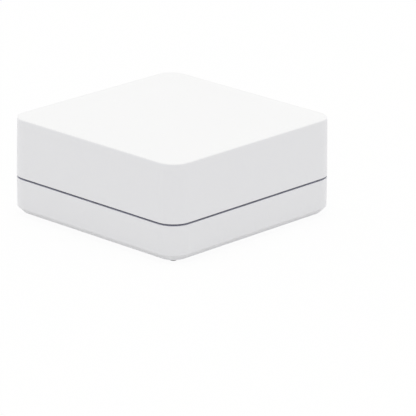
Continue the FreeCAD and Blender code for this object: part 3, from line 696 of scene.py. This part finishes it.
def solder_cones(name, half_width, rise, flare, above=(), below=()):
    """Cones of solder round legs, on the board's upper face, its lower face or both."""
    foot, waist, tip = (half_width + share * flare for share in (1, waist_share, tip_share))
    bpy.ops.object.select_all(action="DESELECT")
    bpy.ops.mesh.primitive_cylinder_add(
        vertices=cone_faces, radius=foot, depth=rise, location=(0, 0, rise / 2))
    cone = opened(name)
    pick(cone, "FACE", facing((0, 0, 1)))
    on_axis = {"center_override": (0, 0, rise)}
    bpy.ops.transform.resize(value=(waist / foot, waist / foot, 1), **on_axis)
    push((0, 0, tip_rise * rise))
    bpy.ops.transform.resize(value=(tip / waist, tip / waist, 1), **on_axis)
    upside_down = Matrix.Rotation(math.pi, 4, "X")
    moves = [Matrix.Translation((leg.x, leg.y, board_high.z)) for leg in above]
    moves += [Matrix.Translation((leg.x, leg.y, board_low.z)) @ upside_down for leg in below]
    fit(repeated(cone, moves), solder, angle=cone_smoothing)


coil_legs = legs_below("antenna_coil", gap=0.9 * mm)[0]
solder_cones(
    "antenna_solder", coil_wire_radius, rise=0.35 * mm, flare=0.5 * mm, above=coil_legs,
    below=coil_legs)


# Ethernet jack
# A black moulded body holds eight gilt wires that a plug presses down, and two small windows
# over the board's lamps. A tinned shield is folded round it, with a sprung leaf on each side.

socket_low, socket_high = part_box("ethernet_jack_body")
lamp_low, lamp_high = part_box("ethernet_jack_lamps")
jack_middle = (socket_low + socket_high) / 2
socket_black = (0.016, 0.016, 0.017)
socket_grey = (0.028, 0.028, 0.030)
gilt = (0.78, 0.55, 0.22)
gilt_pale = (0.86, 0.68, 0.36)
window_green = (0.42, 0.60, 0.40)
window_green_pale = (0.50, 0.66, 0.47)
window_amber = (0.68, 0.60, 0.36)
window_amber_pale = (0.76, 0.68, 0.44)
window_roughness = 0.12
window_uneven = 0.16
window_haze = 0.3 * mm
window_relief = 0.01 * mm
socket_half_width = 5.95 * mm
leaf_side = jack_middle.x + socket_half_width
leaf_clearance = 0.04 * mm
leaf_mouth = socket_high.y + leaf_clearance
leaf_low_z = 16.9 * mm
leaf_high_z = 20.9 * mm
leaf_sheet = 0.14 * mm
leaf_root = 0.3 * mm
leaf_taper = 0.8
leaf_rounding = 0.04 * mm
# Each step of a leaf: how far it bends inward and how far it runs back, in millimetres.
leaf_steps = (
    (0.00, 0.5), (0.16, 0.45), (0.26, 0.55), (0.20, 0.7),
    (0.06, 0.8), (-0.10, 0.8), (-0.20, 0.75), (-0.16, 0.6))

dress("ethernet_jack_body", grained(
    "jack_moulding", (socket_black, socket_grey), size=0.15 * mm, roughness=(0.38, 0.18),
    relief=0.01 * mm, IOR=1.5))

spring_gilt = grained(
    "spring_gilt", (gilt, gilt_pale), size=0.25 * mm, stretch=(1, 5, 1), roughness=(0.28, 0.2),
    relief=0.003 * mm, Metallic=1.0)
dress("ethernet_jack_contacts", spring_gilt)

lamp_window = Finish(
    "lamp_windows", window_green, window_roughness, IOR=1.49, Transmission_Weight=0.25,
    Subsurface_Weight=0.2, Subsurface_Radius=(1.0, 1.0, 1.0), Subsurface_Scale=0.5 * mm)
tinted = lamp_window.axis("X") > (lamp_low.x + lamp_high.x) / 2
haze = lamp_window.noise(window_haze)
green_tone = lamp_window.colours(haze, window_green, window_green_pale)
amber_tone = lamp_window.colours(haze, window_amber, window_amber_pale)
lamp_window.feed("Base Color", lamp_window.colours(tinted, green_tone, amber_tone))
lamp_window.feed("Roughness", window_roughness + window_uneven * haze)
lamp_window.relief(window_relief * haze)
dress("ethernet_jack_lamps", lamp_window)

jack_tin = rolled_tin("jack_shield_tin", (12, 12, 1))
dress("ethernet_jack_shield", jack_tin)


def mirrored(middle):
    """A move that mirrors a piece to the other side of a middle."""
    return Matrix.Translation((2 * middle.x, 0, 0)) @ Matrix.Scale(-1, 4, (1, 0, 0))


def face_outward(piece):
    """Selects all faces of a piece and turns them outwards."""
    if piece.mode == "OBJECT":
        bpy.ops.object.mode_set(mode="EDIT")
    bpy.ops.mesh.select_all(action="SELECT")
    bpy.ops.mesh.normals_make_consistent(inside=False)


leaf = block(
    "ethernet_jack_leaves",
    (leaf_side - leaf_sheet, leaf_mouth, leaf_low_z),
    (leaf_side + leaf_root, leaf_mouth + leaf_sheet, leaf_high_z))
bpy.ops.mesh.select_all(action="SELECT")
bpy.ops.mesh.bisect(plane_co=(leaf_side, 0, 0), plane_no=(1, 0, 0))
pick(leaf, "FACE", facing((0, -1, 0), lambda centre: centre.x < leaf_side))
for inward, back in leaf_steps:
    push((-inward * mm, -back * mm, 0))
bpy.ops.transform.resize(
    value=(1, 1, leaf_taper),
    center_override=(leaf_side, leaf_mouth, (leaf_low_z + leaf_high_z) / 2))
soften(leaf, leaf_rounding, segments=1, angle=50)
leaves = repeated(leaf, [Matrix.Identity(4), mirrored(jack_middle)])
face_outward(leaves)
fit(leaves, jack_tin)

wires, wire_half = legs_below("ethernet_jack_contacts", gap=0.5 * mm)
solder_cones(
    "ethernet_contact_solder", wire_half, rise=0.3 * mm, flare=0.28 * mm, below=wires)
posts, post_half = legs_below("ethernet_jack_shield", gap=2.0 * mm)
solder_cones(
    "ethernet_shield_solder", post_half, rise=0.35 * mm, flare=0.5 * mm, below=posts)


# USB power socket
# Nickel-plated sheet is folded into a shell with a flared mouth. A black tongue inside it holds
# five gilt contacts, and a leg on each side is soldered through the board.

usb_low, usb_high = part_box("usb_socket_shell")
nickel = (0.58, 0.58, 0.59)
nickel_dull = (0.48, 0.48, 0.50)
usb_leg = 0.3 * mm
usb_leg_half = 0.35 * mm
usb_leg_y = usb_low.y + 1.8 * mm
usb_shoulder = 0.85 * mm
usb_rounding = 0.25 * mm
mouth_height = 2.7 * mm
lip_back = 0.55 * mm
lip_flare = 0.2 * mm
lip_sheet = 0.34 * mm
lip_edge = 0.03 * mm
lip_return = 0.12 * mm
# Each loop of the lip: how much wider it is than the mouth, and how far it is drawn forward.
lip_steps = (
    (2 * lip_flare, lip_edge), (lip_flare, 0), (lip_flare - 2 * lip_sheet, -lip_return))

usb_nickel = grained(
    "usb_nickel", (nickel_dull, nickel), size=0.04 * mm, stretch=(1, 14, 1),
    roughness=(0.2, 0.16), relief=0.002 * mm, Metallic=1.0)
dress("usb_socket_shell", usb_nickel)
dress("usb_socket_tongue", grained(
    "usb_tongue_moulding", (socket_black, socket_grey), size=0.1 * mm, roughness=(0.32, 0.18),
    relief=0.006 * mm, IOR=1.5))
dress("usb_socket_contacts", spring_gilt)


def lengthwise(where=lambda centre: True):
    """A rule for edges that run from front to back and whose middle fits where."""
    def rule(edge):
        first, second = (corner.co for corner in edge.verts)
        return abs(first.y - second.y) > same_place and where((first + second) / 2)
    return rule


mouth_low = Vector((usb_low.x + usb_leg, usb_high.y - lip_back, usb_high.z - mouth_height))
mouth_high = Vector((usb_high.x - usb_leg, usb_high.y, usb_high.z))
mouth_middle = (mouth_low + mouth_high) / 2
mouth_size = mouth_high - mouth_low
lip = block("usb_socket_lip", mouth_low, mouth_high)
pick(lip, "EDGE", lengthwise(lambda centre: centre.z < mouth_middle.z))
bpy.ops.mesh.bevel(offset=usb_shoulder, segments=1, affect="EDGES")
pick(lip, "EDGE", lengthwise())
bpy.ops.mesh.bevel(offset=usb_rounding, segments=3, affect="EDGES")
pick(lip, "FACE", lambda face: abs(face.normal.y) > facing_limit)
bpy.ops.mesh.delete(type="ONLY_FACE")
pick(lip, "EDGE", ends(lambda place: place.y > mouth_middle.y))
grown = 0
for growth, forward in lip_steps:
    across, up = ((size + growth) / (size + grown) for size in (mouth_size.x, mouth_size.z))
    bpy.ops.transform.resize(value=(across, 1, up), center_override=mouth_middle)
    bpy.ops.mesh.extrude_edges_move(TRANSFORM_OT_translate={"value": (0, forward, 0)})
    grown = growth
pick(lip, "EDGE", lambda edge: edge.is_boundary)
bpy.ops.mesh.bridge_edge_loops()
face_outward(lip)
fit(lip, usb_nickel, angle=40)

usb_legs = [
    Vector((leg_x, usb_leg_y, 0)) for leg_x in (usb_low.x + usb_leg / 2, usb_high.x - usb_leg / 2)]
solder_cones("usb_socket_solder", usb_leg_half, rise=0.3 * mm, flare=0.35 * mm, above=usb_legs)


# Pairing switch
# A black moulded body, closed by a stamped plate that folds over its top, holds a white plunger
# against a sprung steel dome. Four bent legs solder it to the board.

body_low, body_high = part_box("switch_body")
dome_low, dome_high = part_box("switch_dome")
body_middle = (body_low + body_high) / 2
dome_middle = (dome_low + dome_high) / 2
switch_black = (0.024, 0.024, 0.026)
switch_worn = (0.040, 0.040, 0.042)
switch_steel = (0.58, 0.58, 0.58)
steel_shade = (0.46, 0.46, 0.47)
plunger_white = (0.66, 0.66, 0.63)
plunger_pale = (0.72, 0.72, 0.69)
dome_radius = (dome_high.x - dome_low.x) / 2
dome_rise = dome_high.y - dome_low.y
dome_sheet = 0.12 * mm
dome_faces = 32
# Each ring of the dome: its share of the radius and its share of the rise.
dome_steps = ((0.95, 0.2), (0.85, 0.47), (0.7, 0.75), (0.53, 0.93), (0.38, 1.0))
leg_width = 0.7 * mm
leg_sheet = 0.15 * mm
leg_reach = 0.45 * mm
leg_toe = 0.7 * mm
leg_height = 1.1 * mm
leg_bite = 0.02 * mm
leg_rounding = 0.05 * mm
leg_pitch = 1.7 * mm
leg_y = body_low.y + 0.8 * mm

dress("switch_body", grained(
    "switch_moulding", (switch_black, switch_worn), size=0.12 * mm, roughness=(0.42, 0.16),
    relief=0.008 * mm, IOR=1.5))

stamped = grained(
    "stamped_steel", (steel_shade, switch_steel), size=0.05 * mm, stretch=(10, 1, 1),
    roughness=(0.22, 0.16), relief=0.002 * mm, Metallic=1.0)
dress("switch_cover_plate", stamped)

dress("switch_plunger", grained(
    "plunger_nylon", (plunger_white, plunger_pale), size=0.4 * mm, detail=2.0,
    roughness=(0.38, 0.16), relief=0.006 * mm, Subsurface_Weight=0.1,
    Subsurface_Scale=0.3 * mm))

bpy.ops.object.select_all(action="DESELECT")
bpy.ops.mesh.primitive_circle_add(
    vertices=dome_faces, radius=dome_radius, fill_type="NGON",
    location=(dome_middle.x, dome_low.y, dome_middle.z), rotation=(-math.pi / 2, 0, 0))
dome = opened("switch_spring_dome")
pick(dome, "FACE", lambda face: True)
ring, risen = 1.0, 0.0
for next_ring, next_risen in dome_steps:
    push((0, (next_risen - risen) * dome_rise, 0))
    narrow = next_ring / ring
    bpy.ops.transform.resize(value=(narrow, 1, narrow), center_override=dome_middle)
    ring, risen = next_ring, next_risen
face_outward(dome)
pick(dome, "FACE", facing((0, -1, 0)))
bpy.ops.mesh.delete(type="ONLY_FACE")
bpy.ops.object.mode_set(mode="OBJECT")
thickness = dome.modifiers.new("thickness", "SOLIDIFY")
thickness.thickness = dome_sheet
thickness.offset = -1
bpy.ops.object.modifier_apply(modifier=thickness.name)
fit(dome, stamped, angle=40)
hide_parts("switch_dome")
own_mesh(dome)

bent = block(
    "switch_legs",
    (body_low.x - leg_reach, leg_y - leg_width / 2, body_low.z + leg_height - leg_sheet),
    (body_low.x + leg_bite, leg_y + leg_width / 2, body_low.z + leg_height))
pick(bent, "FACE", facing((-1, 0, 0)))
push((-leg_sheet, 0, 0))
pick(bent, "FACE", facing((0, 0, -1), lambda centre: centre.x < body_low.x - leg_reach))
push((0, 0, 2 * leg_sheet - leg_height))
push((0, 0, -leg_sheet))
pick(bent, "FACE", facing((-1, 0, 0), lambda centre: centre.z < body_low.z + leg_sheet))
push((-leg_toe, 0, 0))
soften(bent, leg_rounding)
bpy.ops.object.mode_set(mode="EDIT")
bpy.ops.mesh.select_all(action="SELECT")
bpy.ops.mesh.quads_convert_to_tris(quad_method="BEAUTY", ngon_method="BEAUTY")
legs = repeated(bent, [
    Matrix.Translation((0, along, 0)) @ side
    for side in (Matrix.Identity(4), mirrored(body_middle))
    for along in (0, leg_pitch)])
face_outward(legs)
fit(legs, stamped)


# Status lamp
# A side-view lamp in a milky moulded package shines into the light pipe in the rear wall. Its
# ends are plated and soldered to the board.

lamp_cream = (0.74, 0.71, 0.58)
lamp_pale = (0.80, 0.78, 0.70)

dress("status_led", grained(
    "lamp_package", (lamp_cream, lamp_pale), size=0.3 * mm, detail=2.0, roughness=(0.28, 0.18),
    relief=0.006 * mm, IOR=1.5, Subsurface_Weight=0.2, Subsurface_Scale=0.4 * mm))


# Top cover
# The tall upper half of the case is injection-moulded in white ABS with a fine matt texture. The
# rear wall is thinner round the ports, and a boss in each corner takes a case screw.

case_white = (0.873, 0.873, 0.887)
case_flow = (0.863, 0.863, 0.877)
# Painted shade: a grey-blue for the faces deep in the seam's groove, which stand in its shadow.
seam_shade_grey = (0.56, 0.565, 0.645)
case_roughness = 0.38
case_uneven = 0.12
texture_size = 0.3 * mm
texture_depth = 0.006 * mm
flow_size = 18 * mm
case_half = cad_high.x
case_corner = 6.4 * mm
seam_low_z = 11.64 * mm
seam_high_z = 12.24 * mm
seam_margin = 0.04 * mm
seam_shade_start = 0.12 * mm
seam_shade_full = 0.36 * mm


def moulded_white(name):
    """White ABS with a spark-eroded texture, with painted shade on the faces deep inside the seam's
    groove.
    """
    finish = Finish(name, case_white, case_roughness, IOR=1.46)
    grain = finish.noise(texture_size)
    flow = finish.noise(flow_size)
    x, y, z = finish.axis("X"), finish.axis("Y"), finish.axis("Z")
    straight = case_half - case_corner
    off_x = (abs(x) - straight).most(0.0)
    off_y = (abs(y) - straight).most(0.0)
    behind = case_corner - length(off_x, off_y)
    above = z > seam_low_z - seam_margin
    below = z < seam_high_z + seam_margin
    # Painted shade: within the seam's band, faces deeper than the outer skin turn grey-blue.
    painted_seam_shade = behind.rise(seam_shade_start, seam_shade_full) * above * below
    skin = finish.colours(flow, case_flow, case_white)
    finish.feed("Base Color", finish.colours(painted_seam_shade, skin, seam_shade_grey))
    finish.feed("Roughness", case_roughness + case_uneven * grain)
    finish.relief(texture_depth * grain)
    return finish


dress("top_cover", moulded_white("cover_white"))


# Pairing button and light pipe
# The button is pale grey plastic with its flange behind the rear wall, and it slides in the wall
# against the switch. The light pipe is a polished clear rod, pressed into its hole.

button_grey = (0.42, 0.43, 0.44)
button_pale = (0.47, 0.48, 0.49)
button_roughness = 0.3
button_uneven = 0.12
button_grain = 0.15 * mm
button_flow = 2 * mm
button_relief = 0.004 * mm
pipe_clear = (0.90, 0.92, 0.94)
pipe_shade = (0.82, 0.85, 0.88)

button_plastic = Finish("button_grey", button_grey, button_roughness, IOR=1.5)
grain = button_plastic.noise(button_grain)
flow = button_plastic.noise(button_flow)
button_plastic.feed("Base Color", button_plastic.colours(flow, button_grey, button_pale))
button_plastic.feed("Roughness", button_roughness + button_uneven * grain)
button_plastic.relief(button_relief * grain)
dress("pairing_button", button_plastic)

dress("status_light_pipe", grained(
    "light_pipe_clear", (pipe_clear, pipe_shade), size=0.4 * mm, detail=2.0,
    roughness=(0.06, 0.14), relief=0.003 * mm, IOR=1.49, Transmission_Weight=0.55))


# Base shell
# The lower half of the case is moulded in the same white ABS, with a slanted lower edge. Its
# rim stands up inside the cover and leaves a narrow seam between the two halves, with painted shade
# in its groove.

dress("base_shell", moulded_white("base_white"))


# Case screws
# Four black zinc-plated screws come up from below through the base and the board, and cut their
# own thread in the cover's bosses.

zinc_black = (0.050, 0.050, 0.055)
zinc_worn = (0.16, 0.16, 0.17)

dress("case_screws", grained(
    "black_zinc", (zinc_black, zinc_worn), size=0.5 * mm, fleck=(0.5, 0.75),
    roughness=(0.28, 0.25), relief=0.006 * mm, Metallic=1.0))


# Feet
# Four square pads of moulded rubber with round corners are stuck in pockets over the screw
# heads. Fine crossed grooves on their lower face grip the table.

rubber_dark = (0.085, 0.085, 0.088)
rubber_dusty = (0.125, 0.125, 0.128)
rubber_roughness = 0.66
rubber_uneven = 0.16
rubber_bloom = 1.2 * mm
rubber_grain = 0.1 * mm
rubber_relief = 0.01 * mm
groove_pitch = 0.9 * mm
groove_depth = 0.08 * mm
groove_floor = 0.15 * groove_pitch
groove_top = 0.3 * groove_pitch
groove_border = 0.8 * mm

foot_rubber = Finish("foot_rubber", rubber_dark, rubber_roughness, IOR=1.5)
x, y = foot_rubber.axis("X"), foot_rubber.axis("Y")
off_x, off_y = abs(x) - screw_place.x, abs(y) - screw_place.y
grip_half = (foot_high.x - foot_low.x) / 2 - groove_border
inside = (abs(off_x) < grip_half) * (abs(off_y) < grip_half)
nearest = (off_x + off_y).fold(groove_pitch).least((off_x - off_y).fold(groove_pitch))
grooves = inside * (1 - nearest.rise(groove_floor, groove_top))
bloom = foot_rubber.noise(rubber_bloom, detail=3.0)
grain = foot_rubber.noise(rubber_grain)
foot_rubber.feed("Base Color", foot_rubber.colours(bloom, rubber_dark, rubber_dusty))
foot_rubber.feed("Roughness", rubber_roughness + rubber_uneven * grain)
foot_rubber.relief(rubber_relief * grain - groove_depth * grooves)
for corner in ("front_left", "front_right", "rear_left", "rear_right"):
    dress("foot_" + corner, foot_rubber)


# Blank label
# A bare label is cut with round corners from silver-grey polyester film and stuck in a shallow
# recess in the middle of the underside.

film_silver = (0.50, 0.51, 0.52)
film_shade = (0.42, 0.43, 0.44)

dress("blank_label", grained(
    "silver_film", (film_shade, film_silver), size=0.05 * mm, detail=2.0, stretch=(20, 1, 1),
    roughness=(0.34, 0.16), relief=0.002 * mm, Metallic=0.6))


# Table
# The hub stands on a wide sheet of white paper, which shows white and keeps a faint shadow. From
# below it can be seen through, and right under the hub it lets light up to the underside.

sheet_size = 8.0
sheet_drop = 0.02 * mm
paper_white = (0.75, 0.75, 0.75, 1.0)
glow_white = (1.0, 1.0, 1.0, 1.0)
glow_share = 0.90
glow_strength = 1.02
light_inset = 2.2 * mm


def seen_directly(tree):
    """Is 1 for rays from the camera, from a reflection or through something clear."""
    camera_ray, glossy_ray, clear_ray = (
        Field(tree).node("ShaderNodeLightPath", {}, {}, out=f"Is {kind} Ray")
        for kind in ("Camera", "Glossy", "Transmission"))
    return camera_ray.most(glossy_ray).most(clear_ray)


bpy.ops.object.select_all(action="DESELECT")
bpy.ops.mesh.primitive_plane_add(size=sheet_size, location=(0, 0, -sheet_drop))
sheet = bpy.context.object
sheet.name = "paper_sheet"
bpy.ops.object.transform_apply(location=True, rotation=True, scale=True)
paper = bpy.data.materials.new("white_paper")
paper.use_nodes = True
paper_nodes = paper.node_tree.nodes
paper_nodes.remove(paper_nodes["Principled BSDF"])
seen = seen_directly(paper.node_tree)
dull = seen.node("ShaderNodeBsdfDiffuse", {}, {"Color": paper_white})
bright = seen.node("ShaderNodeEmission", {}, {"Color": glow_white, "Strength": glow_strength})
from_above = seen.node("ShaderNodeMixShader", {}, {0: seen * glow_share, 1: dull, 2: bright})
see_through = seen.node("ShaderNodeBsdfTransparent", {}, {})
lower_side = seen.node("ShaderNodeNewGeometry", {}, {}, out="Backfacing")
place = seen.node("ShaderNodeTexCoord", {}, {}, out="Object")
x, y = (place.node("ShaderNodeSeparateXYZ", {}, {"Vector": place}, out=name) for name in "XY")
under_hub = (abs(x) < cad_high.x - light_inset) * (abs(y) < cad_high.y - light_inset)
clear = lower_side.most(under_hub * (1 - seen))
both = seen.node("ShaderNodeMixShader", {}, {0: clear, 1: from_above, 2: see_through})
seen.tree.links.new(both.socket, paper_nodes["Material Output"].inputs["Surface"])
sheet.data.materials.append(paper)


# Light
# Soft white light comes from all round, as in a studio tent. A wide lamp straight above makes the
# flat top brighter than the walls, and two weaker ones behind the hub lighten its far edges.

tent_level = 0.90
tent_white = (0.99, 0.99, 1.01, 1.0)
lamp_distance = 1.2
lamp_size = 0.6
overhead_white = (1.0, 1.0, 0.76)
overhead_power = 2.5
edge_white = (1.0, 1.0, 1.0)
edge_power = 1.8

studio = bpy.data.worlds.new("studio_tent")
bpy.context.scene.world = studio
studio.use_nodes = True
seen = seen_directly(studio.node_tree)
tent = studio.node_tree.nodes["Background"]
tent.inputs["Color"].default_value = tent_white
strength = tent_level + (1 - tent_level) * seen
studio.node_tree.links.new(strength.socket, tent.inputs["Strength"])

for name, way, turn, colour, power in (
        ("overhead", Vector((0, 0, 1)), (0, 0, 0), overhead_white, overhead_power),
        ("behind", Vector((0, 1, 0)), (-math.pi / 2, 0, 0), edge_white, edge_power),
        ("beside", Vector((1, 0, 0)), (0, math.pi / 2, 0), edge_white, edge_power)):
    light = bpy.data.lights.new(name, "AREA")
    light.shape = "DISK"
    light.size = lamp_size
    light.energy = power
    light.color = colour
    lamp = bpy.data.objects.new(name, light)
    lamp.location = way * lamp_distance
    lamp.rotation_euler = turn
    bpy.context.scene.collection.objects.link(lamp)


# Camera
# It looks at the hub's left front corner from a little above, through a long lens, and is turned
# slightly so that the hub stands left of and above the middle of the picture.

view_azimuth = math.radians(-45.546)
view_height = math.radians(17.998)
view_distance = 1.0404
view_roll = math.radians(0.438)
view_aim = Vector((0, 0, 0.0161))
aim_right = 0.010864
aim_up = -0.013888
focal_length = 298.53
film_width = 36.0
far_limit = 20.0

away = Vector((
    math.sin(view_azimuth) * math.cos(view_height),
    -math.cos(view_azimuth) * math.cos(view_height),
    math.sin(view_height)))
rightward = Vector((math.cos(view_azimuth), math.sin(view_azimuth), 0))
upward = away.cross(rightward)
spot = view_aim + away * view_distance
target = view_aim + rightward * aim_right + upward * aim_up
look = (spot - target).normalized()
level_side = Vector((0, 0, 1)).cross(look).normalized()
level_top = look.cross(level_side)
side = level_side * math.cos(view_roll) + level_top * math.sin(view_roll)
top = level_top * math.cos(view_roll) - level_side * math.sin(view_roll)

lens = bpy.data.cameras.new("camera")
lens.lens = focal_length
lens.sensor_width = film_width
lens.clip_end = far_limit
camera = bpy.data.objects.new("camera", lens)
bpy.context.scene.collection.objects.link(camera)
camera.matrix_world = Matrix.Translation(spot) @ Matrix((side, top, look)).transposed().to_4x4()
bpy.context.scene.camera = camera
bpy.context.scene.view_settings.view_transform = "Standard"
